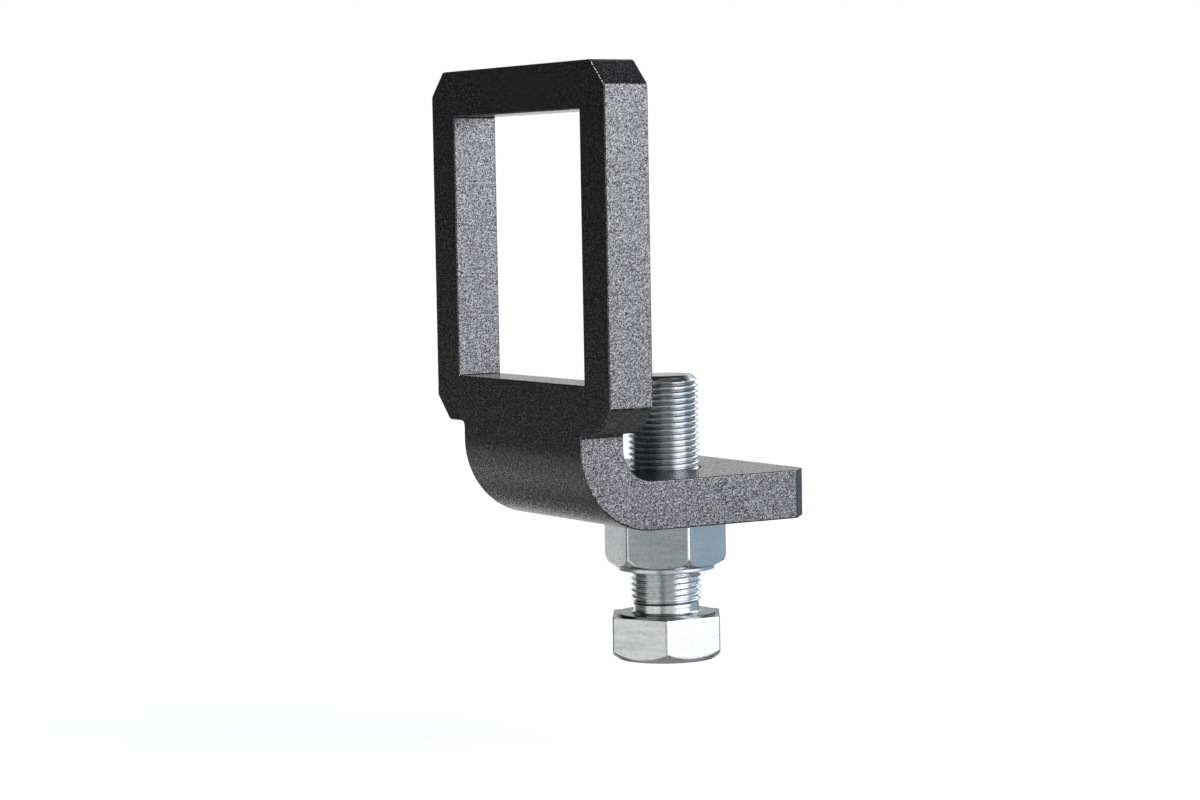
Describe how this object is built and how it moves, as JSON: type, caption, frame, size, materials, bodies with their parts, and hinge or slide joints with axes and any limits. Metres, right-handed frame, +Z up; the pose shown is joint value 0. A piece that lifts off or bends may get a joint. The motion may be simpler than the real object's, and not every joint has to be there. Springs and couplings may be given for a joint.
{
  "type": "beam clamp",
  "caption": "Cranked plate beam clamp: a window frame hangs on a bar and a fine-threaded bolt with a lock nut clamps a beam flange.",
  "frame": {"origin": "centre of the window's sill, its lower inner face, halfway through the plate", "axes": "+Z up along the bolt and the window's height, +X the way the foot points, +Y across the window"},
  "size_m": [0.0675, 0.084, 0.1485],
  "materials": {
    "powder_coat": "black fine-textured powder coat on steel plate",
    "zinc": "bright blue-passivated zinc plating"
  },
  "bodies": {
    "bracket": {"bracket": "powder_coat"},
    "lock_nut": {"lock_nut": "zinc"},
    "clamp_bolt": {"clamp_bolt": "zinc"}
  },
  "joints": [
    {"name": "screw_turn", "type": "hinge", "parent": "bracket", "child": "lock_nut", "pos_m": [0.0355, 0, -0.036], "axis": [0, 0, 1], "range_deg": [-5400, 1440]},
    {"name": "screw_advance", "type": "slide", "parent": "lock_nut", "child": "clamp_bolt", "axis": [0, 0, 1], "range_m": [-0.0225, 0.006]}
  ],
  "couplings": [
    {"joint": "screw_turn", "follows": "screw_advance", "rad_per_m": 4188.8}
  ]
}
